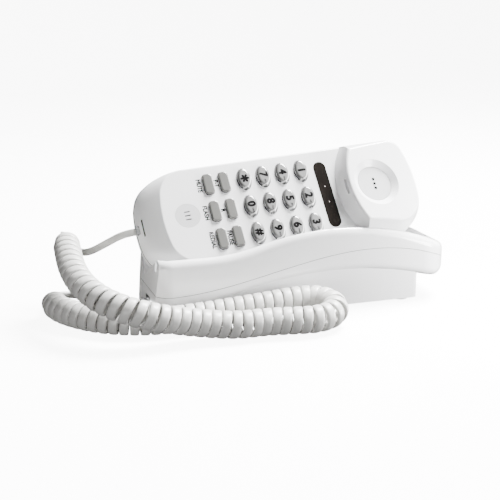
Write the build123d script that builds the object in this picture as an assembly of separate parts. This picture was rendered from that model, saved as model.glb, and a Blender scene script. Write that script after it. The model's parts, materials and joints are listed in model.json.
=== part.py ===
from build123d import *
from math import pi, radians, tan
import os

# Compact corded telephone: a handset with its keypad in the inner face lies on its long edge in the
# trough of a boat-shaped base. Lengths are millimetres, +Z is up, +X runs along the base toward the
# earpiece end, and the front of the telephone faces -Y.

# ---- driving dimensions -------------------------------------------------------------------------
WALL = 2.2                   # moulded shell thickness
GAP = 0.3                    # clearance between pieces that move past each other
FIT = 0.1                    # radial clearance of a piece seated in its pocket

# handset, in its own frame: U along the length to the earpiece, V across, N out of the key face
HALF_WIDTH = 33.0
MIC_TIP = -113.5
EAR_TIP = 78.0
PARTING = -16.0              # N of the joint between the two shells
BACK = -31.0                 # N of the back
END_BOW = 6.0                # how far each end bulges beyond its corners
EAR_SKEW = 5.5               # how much rounder the near corner of the earpiece end is than the far one
EAR_CENTRE = 75.0            # U of the axis of the earpiece riser
EAR_RISER = 54.0             # riser radius where it leaves the key face
EAR_HEIGHT = 12.0
EAR_DRAFT = 5.0              # radius lost over EAR_HEIGHT
EAR_SLOPE = 9.0              # degrees, fall of the earpiece face toward the tip
FACE_EDGE = 1.5              # rounding where the key face meets the sides
EAR_EDGE = 2.0               # rounding around the earpiece face
BACK_EDGE = 12.0             # rounding of the back
DISC_AT = 46.0               # U of the earpiece grille
DISC_RADIUS = 12.3
MIC_AT = -82.0
MIC_RADIUS = 8.1
LENS_AT = 13.3
LENS_SIZE = (8.4, 47.0)
KEY_COLUMNS = 19.05
KEY_ROWS = 13.2
KEY_SIZE = (9.2, 15.0)
FUNCTION_ROWS = (-53.1, -63.9)
FUNCTION_SIZE = (6.4, 14.2)
KEY_PROUD = 2.2
KEY_DOME = 2.2               # rounding of the number keys' tops
KEY_TRAVEL = 1.2
KEY_FLANGE = 1.0
FLANGE_TOP = -2.5            # N of the top of the keys' retaining flanges
BOARD_TOP = -7.7
HANDSET_BOSSES = [(-88.0, 17.0), (-88.0, -17.0), (23.0, 25.0), (23.0, -25.0)]
DISH_DEPTH = 3.0             # dish around the earpiece grille
DISC_THICK = 1.6

# where the handset lies in the base: the key-face origin, its lean and its pitch
HANDSET_AT = (12.6, -2.7, 70.7)
HANDSET_LEAN = 53.6
HANDSET_PITCH = 4.4

# base
BASE_LEFT = -98.0
BASE_RIGHT = 108.0
RIM_HALF = 28.5
BOX_HALF = 26.3
BOX_RIGHT = 83.3
BOX_TOP = 30.0               # the box runs up into the rim
FEET = 2.0                   # height of the feet below the box
RIM_TOP = [(-98.0, 42.0), (-62.0, 42.0), (-25.0, 47.6), (30.0, 54.6), (108.0, 34.0)]
RIM_BOTTOM = [(108.0, 10.6), (27.0, 25.5), (-98.0, -6.0)]
RIM_NOSE = 11.2              # radius of the rim's nose, seen from the side
RIM_EDGE = 5.2               # rounding of the rim's outer edges
NEAR_CORNER = 12.0           # upright rounding of the base's near left corner
FAR_CORNER = 12.0
TIP_CORNER = 22.0            # rounding either side of the rim's tip, seen from above
TIP_BOW = 9.0                # how far the rim's tip bows out between its corners
BOX_BOW = 0.5
BOX_CORNER = 3.0             # rounding of the box's right corners
TROUGH_CORNERS = (5.0, 7.0, 19.0)  # near left, far left and right roundings of the trough
TROUGH_BOW = 7.0
LINER_WALL = 2.0             # how much of the rim's width the trough liner takes
HOLLOW_SETBACK = 2.5         # extra thickness of the box's left wall
SEAM = [(-99.0, 19.6), (-66.0, 20.6), (36.0, 38.8), (88.0, 33.6), (109.0, 24.5)]
RIM_WIDTH = 4.4
TROUGH_FLOOR = 23.2
TROUGH_ENDS = (-92.0, 98.0)
TROUGH_FLARE = (47.0, 56.0, 2.2)   # heights between which the walls thin, and by how much
END_LEAN = 6.0               # degrees, inward lean of the left end wall
DIP_ROOM = 1.2               # clearance of the dip in the left end wall around the handset
HOOK_AT = (62.0, -12.0)
HOOK_TRAVEL = 3.0
HOOK_RADIUS = 3.8
HOOK_FOOT = 19.2             # height of the plunger's underside
SWITCH_HEIGHT = 2.6
RINGER_AT = -66.0
BASE_BOARD = 9.0             # height of the underside of the base's circuit board
JACK_AT = (-3.0, 9.4)        # Y and Z of the curly cord's socket in the left end wall
LINE_JACK_AT = (9.5, 10.6)   # Y and Z of the line socket in the right end wall
HANGER_SPACING = 83.0        # standard wall-plate stud spacing
BASE_SCREWS = [(-76.0, 20.0), (-76.0, -20.0), (48.0, 20.0), (48.0, -20.0)]
BASE_FEET = [(-86.0, 17.0), (-86.0, -17.0), (74.0, 18.0), (74.0, -18.0)]

# cord
CORD = 4.8                   # width of the flat cord
PLUG_LINE = -14.4            # N of the cord socket in the handset
PLUG_OUT = 3.9               # how far a seated plug stands out of its socket
SOCKET_MOUTH = 3.4           # depth of the handset socket's mouth behind the handset's tip
COIL = 17.5                  # outside diameter of the curly cord
PLUG = (11.7, 7.6, 6.6)      # small modular plug: length, width, height
NECK = (5.2, 4.9)            # width and height of the plug's neck around the cord


def at_handset(shape):
    """Put a shape made in the handset's own frame where the handset lies."""
    lie = Location(HANDSET_AT) * Location((0, 0, 0), (0, -HANDSET_PITCH, 0))
    lie = lie * Location((0, 0, 0), (HANDSET_LEAN, 0, 0))
    return shape.moved(lie)


def box(low, high):
    """Axis-aligned block between two corners."""
    size = [b - a for a, b in zip(low, high)]
    middle = [(a + b) / 2 for a, b in zip(low, high)]
    return Pos(*middle) * Box(*size)


def rod(radius, low, high, at=(0, 0)):
    """Upright cylinder between two heights."""
    return Pos(at[0], at[1], (low + high) / 2) * Cylinder(radius, high - low)


# ---- handset shells -----------------------------------------------------------------------------
def end_outline(mic, ear, half, mic_corner, ear_corner):
    """Long outline with bowed ends and rounded corners."""
    edges = [
        Line((mic + END_BOW, half), (ear - END_BOW, half)),
        ThreePointArc((ear - END_BOW, half), (ear, 0), (ear - END_BOW, -half)),
        Line((ear - END_BOW, -half), (mic + END_BOW, -half)),
        ThreePointArc((mic + END_BOW, -half), (mic, 0), (mic + END_BOW, half)),
    ]
    face = make_face(edges)
    corners = face.vertices().sort_by(Axis.X)
    face = fillet(corners[:2], mic_corner)
    near = [v for v in face.vertices() if abs(v.X - (ear - END_BOW)) < 0.01 and v.Y < 0]
    face = fillet(near, ear_corner + EAR_SKEW)
    far = [v for v in face.vertices() if abs(v.X - (ear - END_BOW)) < 0.01 and v.Y > 0]
    return fillet(far, ear_corner - EAR_SKEW)


def front_volume(inset):
    """Solid inside the front shell's skin, moved in by inset."""
    sections = [
        (PARTING, MIC_TIP, EAR_TIP, HALF_WIDTH, 22, 18),
        (-7.0, MIC_TIP + 5.5, EAR_TIP, HALF_WIDTH, 21, 18),
        (0.0, MIC_TIP + 15.5, EAR_TIP - 1.2, HALF_WIDTH - 0.9, 18, 17),
        (15.0, MIC_TIP + 34, EAR_TIP - 9.0, HALF_WIDTH - 12.5, 14, 12),
    ]
    faces = []
    for n, mic, ear, half, mic_corner, ear_corner in sections:
        face = end_outline(mic + inset, ear - inset, half - inset, mic_corner - inset, ear_corner - inset)
        faces.append(Pos(0, 0, n) * face)
    body = loft(faces)
    top = EAR_HEIGHT + 4
    riser = Pos(EAR_CENTRE, 0, (top - inset) / 2) * Cone(
        EAR_RISER - inset, EAR_RISER - inset - EAR_DRAFT * (top + inset) / EAR_HEIGHT, top + inset)
    block = box((MIC_TIP - 5, -50, -inset), (EAR_TIP + 5, 50, 30))
    body -= block - riser
    crest = EAR_CENTRE - EAR_RISER + EAR_DRAFT
    lid = Pos(crest, 0, EAR_HEIGHT - inset) * Rot(0, EAR_SLOPE, 0) * box((-60, -60, 0), (120, 60, 40))
    return body - lid


def edge_spans(body):
    """Each edge of a body with its bounding box."""
    return [(edge, edge.bounding_box()) for edge in body.edges()]


def rounded_front():
    """The front shell's outer solid with its edges softened."""
    body = front_volume(0)
    ear = [edge for edge, span in edge_spans(body) if span.min.Z > 3 and span.min.X > 32]
    crest = [edge for edge, span in edge_spans(body)
             if span.min.Z > 10.5 and span.min.X > 25 and span.max.X < 33]
    body = fillet(ear + crest, EAR_EDGE)
    face = [edge for edge, span in edge_spans(body)
            if abs(span.min.Z) < 0.05 and abs(span.max.Z) < 0.05 and span.size.Y < 60]
    return fillet(face, FACE_EDGE)


def back_volume(inset):
    """Solid inside the back shell's skin, moved in by inset."""
    face = end_outline(MIC_TIP + inset, EAR_TIP - inset, HALF_WIDTH - inset, 22 - inset, 18 - inset)
    depth = PARTING - BACK - inset
    body = extrude(Pos(0, 0, PARTING) * face, -depth)
    return fillet(body.faces().sort_by(Axis.Z)[0].edges(), BACK_EDGE - inset)


def ellipse_rod(length, width, low, high, at):
    """Oval prism between two heights, length along U."""
    face = Pos(at[0], at[1], low) * Ellipse(length / 2, width / 2)
    return extrude(face, high - low)


def slot_rod(length, width, radius, low, high, at):
    """Rounded-rectangle prism between two heights, length along U."""
    face = Pos(at[0], at[1], low) * RectangleRounded(length, width, radius)
    return extrude(face, high - low)


def on_ear_face(shape):
    """Put a shape made about the grille's centre, Z out, onto the sloping earpiece face."""
    crest = EAR_CENTRE - EAR_RISER + EAR_DRAFT
    drop = (DISC_AT - crest) * tan(radians(EAR_SLOPE))
    return Pos(DISC_AT, 0, EAR_HEIGHT - drop) * Rot(0, EAR_SLOPE, 0) * shape


def key_places():
    """Name and centre of each number key; the first row is nearest the earpiece."""
    names = [["key_1", "key_2", "key_3"], ["key_4", "key_5", "key_6"],
             ["key_7", "key_8", "key_9"], ["key_star", "key_0", "key_hash"]]
    return {name: (-row * KEY_ROWS, (1 - column) * KEY_COLUMNS)
            for row, line in enumerate(names) for column, name in enumerate(line)}


def function_places():
    """Name and centre of each function key."""
    names = [["tone_key", "recall_key", "pause_key"], ["mute_key", "flash_key", "redial_key"]]
    return {name: (FUNCTION_ROWS[row], (1 - column) * KEY_COLUMNS)
            for row, line in enumerate(names) for column, name in enumerate(line)}


def cord_window():
    """Opening for the neck of the cord's plug, through both shells at the microphone end."""
    width, height = NECK[0] / 2 + 0.4, NECK[1] / 2 + 0.4
    return box((MIC_TIP - 5, -width, PLUG_LINE - height), (MIC_TIP + 8, width, PLUG_LINE + height))


def jack_space():
    """Room for the cord socket inside the shells."""
    return box((MIC_TIP + 3.2, -6.0, -20.2), (MIC_TIP + 21, 6.0, -8.6))


def front_cover():
    """Handset shell with the keypad openings, grille seats, lens window and screw bosses."""
    outer = rounded_front()
    shell = outer - front_volume(WALL)
    shell += outer & on_ear_face(rod(DISC_RADIUS + 6.5, -9.0, 1.0))
    for at in HANDSET_BOSSES:
        shell += outer & rod(3.2, PARTING - 1.0, 1.0, at)
    dish = Pos(0, 0, -DISH_DEPTH / 2 + 0.5) * Cone(DISC_RADIUS, DISC_RADIUS + 5.6, DISH_DEPTH + 1.0)
    shell -= on_ear_face(dish)
    shell -= on_ear_face(rod(DISC_RADIUS + FIT, -DISH_DEPTH - DISC_THICK, 0))
    shell -= on_ear_face(rod(DISC_RADIUS - 2.0, -12.0, 0))
    shell -= rod(MIC_RADIUS + FIT, -1.0, 1.0, (MIC_AT, 0))
    shell -= rod(MIC_RADIUS - 1.4, -4.0, 1.0, (MIC_AT, 0))
    length, width = LENS_SIZE
    shell -= slot_rod(length + 2 * FIT, width + 2 * FIT, length / 2, -1.2, 1.0, (LENS_AT, 0))
    shell -= slot_rod(length - 2.4, width - 2.4, length / 2 - 1.3, -4.0, 1.0, (LENS_AT, 0))
    for at in key_places().values():
        shell -= ellipse_rod(KEY_SIZE[0] + 2 * GAP, KEY_SIZE[1] + 2 * GAP, -4.0, 1.0, at)
    for at in function_places().values():
        shell -= slot_rod(FUNCTION_SIZE[0] + 2 * GAP, FUNCTION_SIZE[1] + 2 * GAP, 2.6, -4.0, 1.0, at)
    for at in HANDSET_BOSSES:
        shell -= rod(1.4, PARTING - 2.0, -4.0, at)
    catch_u = EAR_CENTRE - EAR_RISER + EAR_DRAFT
    shell -= box((catch_u - 4.0, -5.5, EAR_HEIGHT - 4.4), (catch_u + 3.0, 5.5, EAR_HEIGHT - 2.4))
    return shell - cord_window() - jack_space()


def back_cover():
    """Handset shell behind the parting line, with counterbores for the screws."""
    outer = back_volume(0)
    shell = outer - back_volume(WALL)
    for at in HANDSET_BOSSES:
        shell += outer & rod(4.4, BACK, PARTING - 1.2, at)
        shell -= rod(3.3, BACK - 1.0, BACK + 7.0, at)
        shell -= rod(1.6, BACK, PARTING, at)
    return shell - cord_window() - jack_space()


def screw(head, shank, low, seat, high):
    """Pan-head screw along Z with a cross recess in its head."""
    body = rod(head, low, seat) + rod(shank, seat, high)
    for angle in (0, 90):
        body -= Rot(0, 0, angle) * box((-head * 0.6, -0.35, low - 1), (head * 0.6, 0.35, low + 0.9))
    return body


def group(shapes):
    """Several separate solids that share a node."""
    return Compound(list(shapes))


def key_cap(at):
    """Oval key: stem through the face, flange behind it, domed top."""
    cap = ellipse_rod(KEY_SIZE[0], KEY_SIZE[1], FLANGE_TOP - 1.0, KEY_PROUD, at)
    cap = fillet(cap.faces().sort_by(Axis.Z)[-1].edges(), KEY_DOME)
    flange = ellipse_rod(KEY_SIZE[0] + 2 * KEY_FLANGE, KEY_SIZE[1] + 2 * KEY_FLANGE,
                         FLANGE_TOP - 1.0, FLANGE_TOP, at)
    return cap + flange


def function_key(at):
    """Rounded-bar key with the same flange."""
    cap = slot_rod(FUNCTION_SIZE[0], FUNCTION_SIZE[1], 2.4, FLANGE_TOP - 1.0, KEY_PROUD - 0.5, at)
    cap = fillet(cap.faces().sort_by(Axis.Z)[-1].edges(), 1.0)
    flange = slot_rod(FUNCTION_SIZE[0] + 2 * KEY_FLANGE, FUNCTION_SIZE[1] + 2 * KEY_FLANGE, 3.0,
                      FLANGE_TOP - 1.0, FLANGE_TOP, at)
    return cap + flange


def keypad_mat():
    """Rubber sheet with one dome under each key."""
    dome_top = FLANGE_TOP - 1.0 - KEY_TRAVEL - GAP
    mat = slot_rod(-FUNCTION_ROWS[1] + 16, 56, 3, BOARD_TOP, BOARD_TOP + 1.2,
                   (FUNCTION_ROWS[1] / 2, 0))
    for at in list(key_places().values()) + list(function_places().values()):
        mat += rod(2.8, BOARD_TOP, dome_top, at)
    return mat


def handset_board():
    """Circuit board under the mat, with its chip and a few components on the back."""
    low = BOARD_TOP - 1.6
    board = box((FUNCTION_ROWS[1] - 11, -28.5, low), (19, 28.5, BOARD_TOP))
    board += box((-40, -9, low - 2.6), (-12, 9, low))
    for u, v, radius, tall in [(-62, 14, 3.0, 8.0), (-62, -14, 2.5, 7.0), (6, 12, 3.0, 8.0)]:
        board += rod(radius, low - tall, low, (u, v))
    return board


def earpiece_disc():
    """Grille over the receiver, with three holes across the handset."""
    disc = rod(DISC_RADIUS, -DISH_DEPTH - DISC_THICK, -DISH_DEPTH)
    disc = fillet(disc.faces().sort_by(Axis.Z)[-1].edges(), 0.4)
    for v in (-3.2, 0, 3.2):
        disc -= rod(0.65, -10, 2, (0, v))
    return on_ear_face(disc)


def microphone_disc():
    """Flush disc over the microphone, with three short slots."""
    disc = rod(MIC_RADIUS, -1.0, 0.0, (MIC_AT, 0))
    for v in (-2.6, 0, 2.6):
        disc -= box((MIC_AT - 1.9, v - 0.45, -2), (MIC_AT + 1.9, v + 0.45, 1))
    return disc


def modular_jack(length, width, height, plug_width, plug_height, plug_length):
    """Square socket whose mouth faces -X, centred on its mouth; the latch notch is above."""
    body = box((0, -width / 2, -height / 2), (length, width / 2, height / 2))
    mouth = box((-1, -plug_width / 2 - FIT, -plug_height / 2 - FIT),
                (plug_length, plug_width / 2 + FIT, plug_height / 2 + FIT))
    notch = box((-1, -1.6, 0), (plug_length, 1.6, plug_height / 2 + 1.3))
    return body - mouth - notch


def modular_plug():
    """Clear plug seated in a socket whose mouth is at the origin, its latch on the upper face."""
    length, width, height = PLUG
    body = box((0, -width / 2, -height / 2), (length - PLUG_OUT, width / 2, height / 2))
    body += box((-PLUG_OUT, -NECK[0] / 2, -NECK[1] / 2), (0, NECK[0] / 2, NECK[1] / 2))
    latch = box((0.6, -1.3, height / 2), (length - PLUG_OUT - 1.5, 1.3, height / 2 + 0.8))
    return body + latch


def base_plan(inset, left, right, bow, near_corner, far_corner, tip_corner, half):
    """Plan outline of the base: flat left end, bowed right tip."""
    edge = right - bow - inset
    edges = [
        Line((left + inset, -half + inset), (edge, -half + inset)),
        ThreePointArc((edge, -half + inset), (right - inset, 0), (edge, half - inset)),
        Line((edge, half - inset), (left + inset, half - inset)),
        Line((left + inset, half - inset), (left + inset, -half + inset)),
    ]
    face = make_face(edges)
    tips = [v for v in face.vertices() if v.X > 0]
    face = fillet(tips, tip_corner - inset)
    near = [v for v in face.vertices() if v.X < left + inset + 0.1 and v.Y < 0]
    face = fillet(near, max(near_corner - inset, 0.6))
    far = [v for v in face.vertices() if v.X < left + inset + 0.1 and v.Y > 0]
    return fillet(far, max(far_corner - inset, 0.6))


def side_face(edges):
    """Face in the XZ plane from edges drawn as (x, z)."""
    return Plane.XZ * make_face(edges)


def rim_top_edges():
    """Top line of the rim: level, up over a soft step, then an even fall to the tip."""
    level, step, rise, crest, end = RIM_TOP
    first = Line(level, step)
    second = TangentArc(step, rise, tangent=(1, 0))
    third = TangentArc(rise, crest, tangent=second % 1)
    return [first, second, third, TangentArc(crest, end, tangent=third % 1)]


def left_lean():
    """Everything outside the leaning left end wall."""
    return Pos(BASE_LEFT, 0, 0) * Rot(0, END_LEAN, 0) * box((-60, -60, -40), (0, 60, 90))


def rim_volume():
    """The arched rim of the base, solid, with its outer edges rounded."""
    under = ThreePointArc(*RIM_BOTTOM)
    end = Line(RIM_TOP[-1], RIM_BOTTOM[0])
    close = Line(RIM_BOTTOM[-1], RIM_TOP[0])
    profile = make_face(rim_top_edges() + [end, under, close])
    profile = fillet([v for v in profile.vertices() if v.X > BASE_RIGHT - 0.1], RIM_NOSE)
    band = extrude(Plane.XZ * profile, 40, both=True)
    plan = base_plan(0, BASE_LEFT, BASE_RIGHT + 0.5, TIP_BOW, NEAR_CORNER, FAR_CORNER, TIP_CORNER, RIM_HALF)
    rim = band & extrude(Pos(0, 0, -20) * plan, 100)
    outer = [e for e in rim.edges() if is_boundary(e)]
    rim = fillet(outer, RIM_EDGE)
    return rim & box((-150, -60, FEET), (150, 60, 90))


def box_volume(inset, top):
    """The box foot under the rim."""
    near_corner = NEAR_CORNER - RIM_HALF + BOX_HALF
    plan = base_plan(inset, BASE_LEFT, BOX_RIGHT, BOX_BOW, near_corner, FAR_CORNER, BOX_CORNER, BOX_HALF)
    return extrude(Pos(0, 0, FEET + inset) * plan, top - FEET - inset)


def above_seam():
    """Everything above the arched joint between the two base covers."""
    seam = Spline(*SEAM)
    left, right = SEAM[0], SEAM[-1]
    frame = Polyline(right, (right[0] + 10, right[1]), (right[0] + 10, 90), (left[0] - 20, 90),
                     (left[0] - 20, left[1]), left)
    return extrude(side_face([seam] + frame.edges()), 60, both=True)


def trough_volume(grow, floor):
    """Space in which the handset lies."""
    left, right = TROUGH_ENDS
    half = RIM_HALF - RIM_WIDTH
    plan = base_plan(-grow, left, right, TROUGH_BOW, *TROUGH_CORNERS, half)
    space = extrude(Pos(0, 0, floor) * plan, 90)
    low, high, flare = TROUGH_FLARE
    wider = base_plan(-grow - flare, left, right, TROUGH_BOW, *TROUGH_CORNERS, half)
    return space + loft([Pos(0, 0, low) * plan, Pos(0, 0, high) * wider])


def is_boundary(edge):
    """Whether an edge of the rim lies on its plan outline rather than across it or upright."""
    size = edge.bounding_box().size
    across = size.Y > 45 or (size.X < 0.1 and size.Y < 0.1)
    return not across


def base_outer():
    """Both base covers as one solid, before they are parted and hollowed."""
    return rim_volume() + box_volume(0, BOX_TOP) - left_lean()


def base_hollow():
    """Room for the works between the bottom plate and the trough floor."""
    near_corner = NEAR_CORNER - RIM_HALF + BOX_HALF
    left = BASE_LEFT + HOLLOW_SETBACK
    plan = base_plan(WALL, left, BOX_RIGHT, BOX_BOW, near_corner, FAR_CORNER, BOX_CORNER, BOX_HALF)
    return extrude(Pos(0, 0, FEET + WALL) * plan, TROUGH_FLOOR - FEET - 2 * WALL)


def end_dip():
    """Dip in the left end wall that follows the handset's end as it lifts, and the notch beside it."""
    face = end_outline(MIC_TIP - DIP_ROOM, EAR_TIP, HALF_WIDTH + DIP_ROOM, 22 + DIP_ROOM, 18)
    seated = extrude(Pos(0, 0, BACK - DIP_ROOM) * face, 100)
    lifted = [Pos(0, rise, 0) * seated for rise in (15, 30)]
    low, high = BASE_LEFT - 5, TROUGH_ENDS[0] + 3
    dip = at_handset(seated + lifted) & box((low, -22, 20), (high, RIM_HALF, 120))
    return dip + box((low, -18.8, 34.0), (high, -15.2, 60))


def jack_hole(width, height):
    """Opening in an end wall for a modular socket, centred on the origin."""
    return box((-12, -width / 2, -height / 2), (12, width / 2, height / 2))


def trough_liner(gap):
    """Trough with the thickness of its own walls, plus a gap for the part around it."""
    grow = LINER_WALL + gap
    return trough_volume(grow, TROUGH_FLOOR - WALL - gap)


def top_cover():
    """Upper base cover: the rim above the seam and the trough inside it."""
    outer = base_outer()
    cover = (outer & above_seam()) + (outer & trough_liner(0))
    cover -= trough_volume(0, TROUGH_FLOOR)
    cover -= end_dip()
    for at in BASE_SCREWS:
        cover += rod(3.0, FEET + WALL, TROUGH_FLOOR - 1.0, at)
        cover -= rod(1.3, FEET, TROUGH_FLOOR - 4.0, at)
    return cover - rod(HOOK_RADIUS + GAP, 10.0, 40.0, HOOK_AT)


def keyhole(at):
    """Keyhole slot for a wall stud, opening toward the left end."""
    slot = rod(4.6, 0, 8, (at, 0)) + box((at - 9.0, -2.3, 0), (at, 2.3, 8))
    return slot + rod(2.3, 0, 8, (at - 9.0, 0))


def bottom_cover():
    """Lower base cover: box foot, bottom plate and the rim below the seam."""
    cover = base_outer() - above_seam() - trough_liner(0.1) - base_hollow()
    cover -= trough_volume(0, TROUGH_FLOOR)
    cover -= Pos(BASE_LEFT, *JACK_AT) * jack_hole(11.4, 10.4)
    cover -= Pos(BOX_RIGHT, *LINE_JACK_AT) * jack_hole(14.4, 12.4)
    for at in BASE_SCREWS:
        cover -= rod(3.1, FEET - 1, FEET + 1.2, at)
        cover -= rod(1.6, FEET - 1, FEET + WALL + 1, at)
        cover -= rod(3.0 + FIT, FEET + WALL, TROUGH_FLOOR, at)
    for at in BASE_FEET:
        cover -= rod(5.0 + FIT, FEET - 1, FEET + 0.8, at)
    for side in (-1, 1):
        cover -= keyhole(side * HANGER_SPACING / 2)
    for step in range(-3, 4):
        cover -= box((RINGER_AT + step * 3 - 0.6, -7, 0), (RINGER_AT + step * 3 + 0.6, 7, 8))
    return cover


def hook_plunger():
    """Hook button: a round stem through the trough floor with a flange under it."""
    stem = rod(HOOK_RADIUS, HOOK_FOOT, TROUGH_FLOOR + 8.0, HOOK_AT)
    stem = fillet(stem.faces().sort_by(Axis.Z)[-1].edges(), 1.4)
    return stem + rod(HOOK_RADIUS + 1.2, HOOK_FOOT, HOOK_FOOT + 1.4, HOOK_AT)


def hook_spring():
    """Coil spring between the switch and the plunger."""
    low = BASE_BOARD + 1.6 + SWITCH_HEIGHT
    height = HOOK_FOOT - low
    helix = Helix((height - 0.6) / 4.0, height - 0.6, 2.2)
    wire = sweep(Plane(helix @ 0, z_dir=helix % 0) * Circle(0.3), helix)
    return Pos(HOOK_AT[0], HOOK_AT[1], low + 0.3) * wire


def base_board():
    """Circuit board in the base with its relay, coil and capacitors."""
    board = box((-4, -15, BASE_BOARD), (64, 15, BASE_BOARD + 1.6))
    top = BASE_BOARD + 1.6
    board += box((2, -11, top), (14, 5, top + 7))
    board += box((24, -2, top), (40, 12, top + 4))
    for x, y, radius, tall in [(20, -10, 3.0, 8), (44, 6, 2.5, 7), (32, -11, 2.5, 6)]:
        board += rod(radius, top, top + tall, (x, y))
    return board


# ---- cord ---------------------------------------------------------------------------------------
def corner_radius(before, corner, after):
    """Largest easy arc at a corner of a cord's route."""
    shorter = min((corner - before).length, (after - corner).length)
    turn = (corner - before).get_angle(after - corner)
    return 0.45 * shorter / tan(radians(turn) / 2)


def cord_tube(name, points, diameter):
    """Straight runs joined by tangent arcs, swept with a round section."""
    route = [Vector(*point) for point in points]
    radii = [corner_radius(*route[i - 1:i + 2]) for i in range(1, len(route) - 1)]
    path = FilletPolyline(*route, radius=radii)
    tube = sweep(Plane(path @ 0, z_dir=path % 0) * Circle(diameter / 2), path)
    expected = pi * diameter ** 2 / 4 * path.length
    print(f"{name}: length {path.length:.1f}, volume ratio {tube.volume / expected:.4f}, radii",
          [round(radius, 1) for radius in radii])
    return tube


# centre line of the coil from its raised end behind the handset's tip, forward and down, along the
# floor in front of the base, round the tight bend and back beside the base to its far curl
COIL_ROUTE = [
    (-142, 31, 47), (-144, 10, 43.5), (-145, -11, 38.5), (-142, -29, 33), (-134, -45, 28),
    (-121, -55, 23.5), (-105, -58.5, 18.5), (-88, -57.5, 14), (-71, -58, 10.5), (-54, -60.5, 8.8),
    (-36, -60, 8.8), (-17, -64, 8.8), (-3, -65.5, 8.8), (9.5, -60, 10), (12, -49, 12.5),
    (3, -38.5, 13.5), (-14, -38, 13), (-34, -38.5, 11.5), (-54, -38, 10), (-75, -37.5, 8.8),
    (-97, -38.5, 8.8), (-115, -34, 8.8), (-131, -25, 8.8), (-144, -11, 8.8), (-153, 6, 8.8),
    (-154, 24, 8.8),
]
COIL_CUTS = [5, 10, 15, 20]  # runs at whose middle the coil's solid is divided
# from the handset's plug, down behind the coil and round into its raised end
HANDSET_LEAD = [
    (-118, 15.5, 46), (-126.5, 25.5, 38.5), (-131, 38, 34.5), (-136, 49, 37.5), (-140.5, 50, 46),
]
# from the far curl of the coil, round behind it to the socket in the base's left end
BASE_LEAD = [
    (-149, 43, 5.5), (-138, 49.5, 3), (-127, 43, 2.6), (-121.5, 30.5, 2.6), (-118.5, 17, 3.4),
    (-114.5, 4.5, 6.5),
]


def build_handset():
    """Every piece that lifts with the handset."""
    pieces = {"handset_front_cover": front_cover(), "handset_back_cover": back_cover()}
    pieces["handset_screws"] = group(screw(2.8, 1.3, BACK + 4.6, BACK + 7.0, -9.0)
                                     .moved(Location((u, v, 0))) for u, v in HANDSET_BOSSES)
    for name, at in key_places().items():
        pieces[name] = key_cap(at)
    for name, at in function_places().items():
        pieces[name] = function_key(at)
    pieces["keypad_mat"] = keypad_mat()
    pieces["handset_circuit_board"] = handset_board()
    length, width = LENS_SIZE
    pieces["indicator_lens"] = slot_rod(length, width, length / 2 - 0.01, -1.2, 0.15, (LENS_AT, 0))
    pieces["indicator_leds"] = group(rod(1.5, BOARD_TOP, -3.0, (LENS_AT, v)) for v in (-5.5, 5.5))
    pieces["earpiece_disc"] = earpiece_disc()
    pieces["microphone_disc"] = microphone_disc()
    pieces["receiver_gasket"] = on_ear_face(rod(13.0, -10.4, -9.0) - rod(10.5, -11, -8))
    pieces["receiver"] = on_ear_face(rod(13.5, -15.4, -10.4) + rod(9.0, -19.4, -15.4))
    pieces["microphone"] = rod(4.85, -6.6, -2.6, (MIC_AT, 0))
    pieces["microphone_boot"] = rod(6.4, -6.6, -WALL, (MIC_AT, 0)) - rod(4.85, -7, -1, (MIC_AT, 0))
    jack = modular_jack(16.0, 11.0, 10.6, PLUG[1], PLUG[2], PLUG[0] - PLUG_OUT + 0.4)
    mouth = Pos(MIC_TIP + SOCKET_MOUTH, 0, PLUG_LINE)
    pieces["handset_cord_jack"] = mouth * jack
    pieces["handset_plug"] = mouth * modular_plug()
    return {name: at_handset(shape) for name, shape in pieces.items()}


def build_base():
    """Every piece of the base."""
    pieces = {"base_top_cover": top_cover(), "base_bottom_cover": bottom_cover()}
    pieces["hook_plunger"] = hook_plunger()
    pieces["hook_spring"] = hook_spring()
    x, y = HOOK_AT
    top = BASE_BOARD + 1.6
    switch = box((x - 6, y - 3.2, top), (x + 2.0, y + 3.2, top + SWITCH_HEIGHT))
    pieces["hook_switch"] = switch + rod(3.2, top, top + SWITCH_HEIGHT, HOOK_AT)
    pieces["base_circuit_board"] = base_board()
    pieces["ringer"] = rod(12.0, FEET + WALL, FEET + WALL + 4.0, (RINGER_AT, 0))
    pieces["ballast_plate"] = box((-35, -14, FEET + WALL), (-8, 14, FEET + WALL + 9.0))
    jack = modular_jack(15.5, 11.0, 10.0, PLUG[1], PLUG[2], PLUG[0] - PLUG_OUT + 0.4)
    mouth = Pos(BASE_LEFT + 1.4, *JACK_AT)
    pieces["base_cord_jack"] = mouth * jack
    pieces["base_plug"] = mouth * modular_plug()
    line = modular_jack(18.0, 14.0, 12.0, 9.65, 6.6, 12.0)
    pieces["line_jack"] = Pos(BOX_RIGHT - 0.4, *LINE_JACK_AT) * Rot(0, 0, 180) * line
    pieces["base_screws"] = group(screw(2.8, 1.3, FEET - 0.4, FEET + 1.2, FEET + 12.0)
                                  .moved(Location((u, v, 0))) for u, v in BASE_SCREWS)
    pieces["base_feet"] = group(rod(5.0, 0, FEET + 0.8, at) for at in BASE_FEET)
    return pieces


def beyond(end, inside, distance):
    """Point past the end of a route, in line with its last run."""
    outward = (Vector(*end) - Vector(*inside)).normalized()
    return Vector(*end) + outward * distance


def halfway(first, second):
    """Point midway along a run."""
    return (Vector(*first) + Vector(*second)) / 2


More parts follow.
